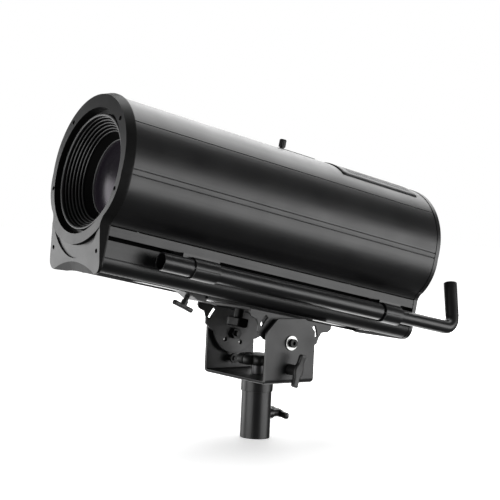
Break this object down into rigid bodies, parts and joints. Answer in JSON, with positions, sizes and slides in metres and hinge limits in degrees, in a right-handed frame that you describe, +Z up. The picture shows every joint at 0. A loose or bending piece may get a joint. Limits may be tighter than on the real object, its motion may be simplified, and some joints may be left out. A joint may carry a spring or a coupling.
{
  "type": "ellipsoidal follow spotlight",
  "caption": "Hand-steered LED follow spotlight: keyhole casing with ribbed lens hood, steering handle, tilting bracket on a U yoke, and a socket for a stand pole.",
  "frame": {"origin": "centre of the mouth of the stand socket", "axes": "+Z up the stand axis, the beam leaves towards -Y and the tilt axis runs along X; at rest the head points 10 degrees above level"},
  "size_m": [0.2375, 0.7233, 0.541],
  "materials": {
    "casing": "extruded, satin black coating",
    "front_paint": "cast, satin dark grey paint",
    "hood": "matt black baffles",
    "bracket": "satin black paint on steel",
    "anodised": "black anodised",
    "zinc": "zinc plated",
    "blackened": "black oxide",
    "aluminium": "machined",
    "plastic": "moulded black",
    "lens": "coated",
    "sheet_steel": "galvanised",
    "circuit": "board"
  },
  "bodies": {
    "stand": {"stand_socket": "anodised", "socket_collar": "anodised", "pan_stud": "zinc"},
    "stand_lock": {"stand_lock_screw": "plastic"},
    "pan_knob": {"pan_knob": "plastic"},
    "yoke": {"lower_bracket": "bracket", "pivot_bolts": "blackened", "pivot_washers": "zinc", "tilt_clamp_dogs": "blackened"},
    "tilt_lock": {"tilt_lock_handle": "plastic"},
    "tilt_bracket": {"tilt_bracket": "bracket", "slide_carriage": "bracket", "carriage_bolts": "blackened", "hanger_nuts": "bracket"},
    "slide_lock": {"slide_lock_knob": "plastic"},
    "lens_carriage": {"lens_carriage": "hood", "zoom_lens": "lens", "slot_slider": "hood"},
    "focus_knob": {"focus_knob": "anodised"},
    "handle_sleeve": {"handle_sleeve": "anodised"},
    "handle_rod": {"handle_rod": "anodised"},
    "fan": {"fan_rotor": "plastic"},
    "dimmer_knob": {"dimmer_knob": "plastic"},
    "power_rocker": {"power_rocker": "plastic"},
    "menu_button_1": {"menu_button_1": "plastic"},
    "menu_button_2": {"menu_button_2": "plastic"},
    "menu_button_3": {"menu_button_3": "plastic"},
    "head": {"base_rail_left": "casing", "base_rail_right": "casing", "bottom_plate": "sheet_steel", "clamp_screws": "blackened", "condenser_lens": "lens", "control_module": "circuit", "data_sockets": "plastic", "driver_box": "sheet_steel", "fan_frame": "plastic", "front_bulkhead": "hood", "front_clamp_lower": "anodised", "front_clamp_upper": "anodised", "front_frame": "front_paint", "front_frame_screws": "blackened", "front_lens": "lens", "gate_housing": "hood", "guide_rods": "aluminium", "heat_sink": "aluminium", "lamp_bulkhead": "hood", "led_module": "circuit", "lens_hood": "hood", "lens_retainer": "zinc", "power_inlet": "plastic", "rear_clamp_lower": "anodised", "rear_clamp_upper": "anodised", "rear_frame": "casing", "rear_panel": "casing", "rear_panel_screws": "blackened", "side_panel_left": "casing", "side_panel_right": "casing", "slide_rail": "anodised", "top_cover": "casing", "vent_cover": "casing"}
  },
  "joints": [
    {"name": "pan", "type": "hinge", "parent": "stand", "child": "yoke", "pos_m": [0, 0, 0.1], "axis": [0, 0, 1], "continuous": true},
    {"name": "pan_knob_turn", "type": "hinge", "parent": "stand", "child": "pan_knob", "pos_m": [0, 0, 0.12], "axis": [0, 0, 1], "continuous": true},
    {"name": "stand_lock_turn", "type": "hinge", "parent": "stand", "child": "stand_lock", "pos_m": [0, 0.033, 0.038], "axis": [0, 1, 0], "continuous": true},
    {"name": "tilt", "type": "hinge", "parent": "yoke", "child": "tilt_bracket", "pos_m": [0, 0, 0.166], "axis": [1, 0, 0], "range_deg": [-35, 55]},
    {"name": "tilt_lock_turn", "type": "hinge", "parent": "yoke", "child": "tilt_lock", "pos_m": [0.0865, 0, 0.1235], "axis": [1, 0, 0], "continuous": true},
    {"name": "slide_lock_turn", "type": "hinge", "parent": "tilt_bracket", "child": "slide_lock", "pos_m": [0, -0.14462, 0.23841], "axis": [0, -0.4067, -0.9135], "continuous": true},
    {"name": "head_slide", "type": "slide", "parent": "tilt_bracket", "child": "head", "axis": [0, 0.9848, -0.1736], "range_m": [-0.05, 0.05]},
    {"name": "lens_slide", "type": "slide", "parent": "head", "child": "lens_carriage", "axis": [0, 0.9848, -0.1736], "range_m": [0, 0.062]},
    {"name": "focus_knob_turn", "type": "hinge", "parent": "lens_carriage", "child": "focus_knob", "pos_m": [0, 0.02811, 0.4809], "axis": [0, 0.1736, 0.9848], "continuous": true},
    {"name": "handle_turn", "type": "hinge", "parent": "head", "child": "handle_sleeve", "pos_m": [0.108, 0.0138, 0.24429], "axis": [0, 0.9848, -0.1736], "range_deg": [-180, 180]},
    {"name": "handle_extend", "type": "slide", "parent": "handle_sleeve", "child": "handle_rod", "axis": [0, 0.9848, -0.1736], "range_m": [-0.04, 0.15]},
    {"name": "fan_spin", "type": "hinge", "parent": "head", "child": "fan", "pos_m": [0, 0.21596, 0.32542], "axis": [0, 0.9848, -0.1736], "continuous": true},
    {"name": "dimmer_turn", "type": "hinge", "parent": "head", "child": "dimmer_knob", "pos_m": [0.058, 0.28546, 0.2761], "axis": [0, 0.9848, -0.1736], "continuous": true},
    {"name": "power_switch", "type": "hinge", "parent": "head", "child": "power_rocker", "pos_m": [-0.021, 0.26971, 0.20983], "axis": [1, 0, 0], "range_deg": [0, 14]},
    {"name": "menu_press_1", "type": "slide", "parent": "head", "child": "menu_button_1", "axis": [0, -0.9848, 0.1736], "range_m": [0, 0.0012], "stiffness_N_per_m": 300},
    {"name": "menu_press_2", "type": "slide", "parent": "head", "child": "menu_button_2", "axis": [0, -0.9848, 0.1736], "range_m": [0, 0.0012], "stiffness_N_per_m": 300},
    {"name": "menu_press_3", "type": "slide", "parent": "head", "child": "menu_button_3", "axis": [0, -0.9848, 0.1736], "range_m": [0, 0.0012], "stiffness_N_per_m": 300}
  ]
}
